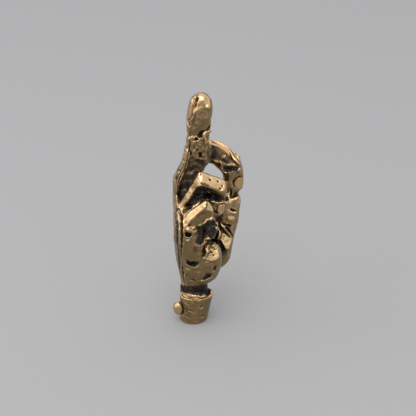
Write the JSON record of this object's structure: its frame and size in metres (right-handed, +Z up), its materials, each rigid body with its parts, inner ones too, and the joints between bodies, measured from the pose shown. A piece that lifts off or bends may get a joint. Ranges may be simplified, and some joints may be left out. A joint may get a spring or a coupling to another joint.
{
  "type": "hand charm",
  "caption": "Small cast aged-brass hand with a raised finger and a finger arched to the thumb, standing on a tapered cuff with a ball button.",
  "frame": {"origin": "middle of the cuff's flat foot", "axes": "+Z up along the raised finger, +X the side that the palm faces, -Y the side of the little finger"},
  "size_m": [0.0135, 0.013, 0.0446],
  "materials": {
    "aged_brass": "cast brass with dark patina in the recesses",
    "worn_brass": "cast brass rubbed bright"
  },
  "bodies": {
    "root": {"cuff": "aged_brass", "wrist": "aged_brass", "palm": "aged_brass", "back_of_hand": "aged_brass", "heel_pad": "aged_brass", "thumb_web": "aged_brass", "thumb": "aged_brass", "arched_finger": "aged_brass", "raised_finger": "aged_brass", "ring_finger": "aged_brass", "little_finger": "aged_brass", "cuff_button": "worn_brass", "thumb_nail": "worn_brass", "arched_finger_nail": "worn_brass", "raised_finger_nail": "worn_brass", "ring_finger_nail": "worn_brass"}
  },
  "joints": []
}
